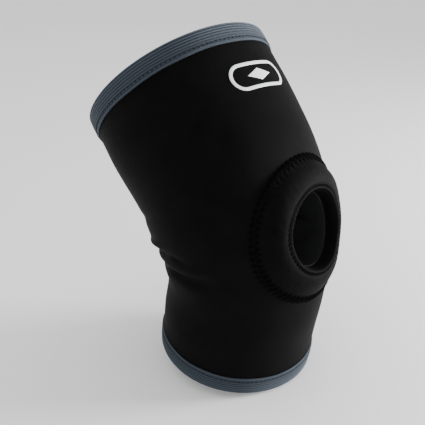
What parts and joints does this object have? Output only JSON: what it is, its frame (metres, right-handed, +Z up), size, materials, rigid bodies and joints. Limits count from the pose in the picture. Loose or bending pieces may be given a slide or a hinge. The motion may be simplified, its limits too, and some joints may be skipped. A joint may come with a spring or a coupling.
{
  "type": "knee brace",
  "caption": "Pull-on neoprene knee brace with an open kneecap hole, a padded kneecap ring and bound cuffs, in its worn half-bent shape; the knee bends and straightens.",
  "frame": {"origin": "centre of the wearer's knee: the middle of the sleeve's bend, on its centreline and on the knee's flexion axis", "axes": "+Z up, from shin to thigh; -Y the way the kneecap faces; X across the leg, along the flexion axis"},
  "size_m": [0.1488, 0.2023, 0.2657],
  "materials": {
    "neoprene_jersey": "matte knit-faced neoprene",
    "lining_knit": "brushed knit",
    "binding_tape": "ribbed elastic tape",
    "grey_thread": "polyester thread",
    "black_thread": "polyester thread",
    "pad_foam": "closed-cell foam",
    "badge_film": "heat-transfer film",
    "label_satin": "woven satin"
  },
  "bodies": {
    "thigh_section": {"thigh_panel": "neoprene_jersey", "thigh_lining": "lining_knit", "thigh_binding": "binding_tape", "thigh_binding_stitching": "grey_thread", "thigh_binding_bartack": "black_thread", "thigh_back_seam": "black_thread", "front_badge": "badge_film", "care_label": "label_satin"},
    "knee_section": {"knee_panel": "neoprene_jersey", "knee_lining": "lining_knit", "knee_back_seam": "black_thread", "patella_pad": "pad_foam", "patella_patch": "neoprene_jersey", "patch_edge_stitching": "black_thread", "hole_edge_stitching": "black_thread"},
    "shin_section": {"shin_panel": "neoprene_jersey", "shin_lining": "lining_knit", "shin_binding": "binding_tape", "shin_binding_stitching": "grey_thread", "shin_binding_bartack": "black_thread", "shin_back_seam": "black_thread"}
  },
  "joints": [
    {"name": "upper_knee_bend", "type": "hinge", "parent": "thigh_section", "child": "knee_section", "pos_m": [0, 0.0096, 0.0241], "axis": [1, 0, 0], "range_deg": [-25, 25], "stiffness_Nm_per_rad": 1.2, "deforming": ["knee_panel", "knee_lining", "knee_back_seam"]},
    {"name": "lower_knee_bend", "type": "hinge", "parent": "knee_section", "child": "shin_section", "pos_m": [0, -0.0042, -0.0256], "axis": [1, 0, 0], "range_deg": [-25, 25], "stiffness_Nm_per_rad": 1.2, "deforming": ["knee_panel", "knee_lining", "knee_back_seam"]}
  ],
  "couplings": [
    {"joint": "lower_knee_bend", "follows": "upper_knee_bend", "ratio": 1}
  ]
}
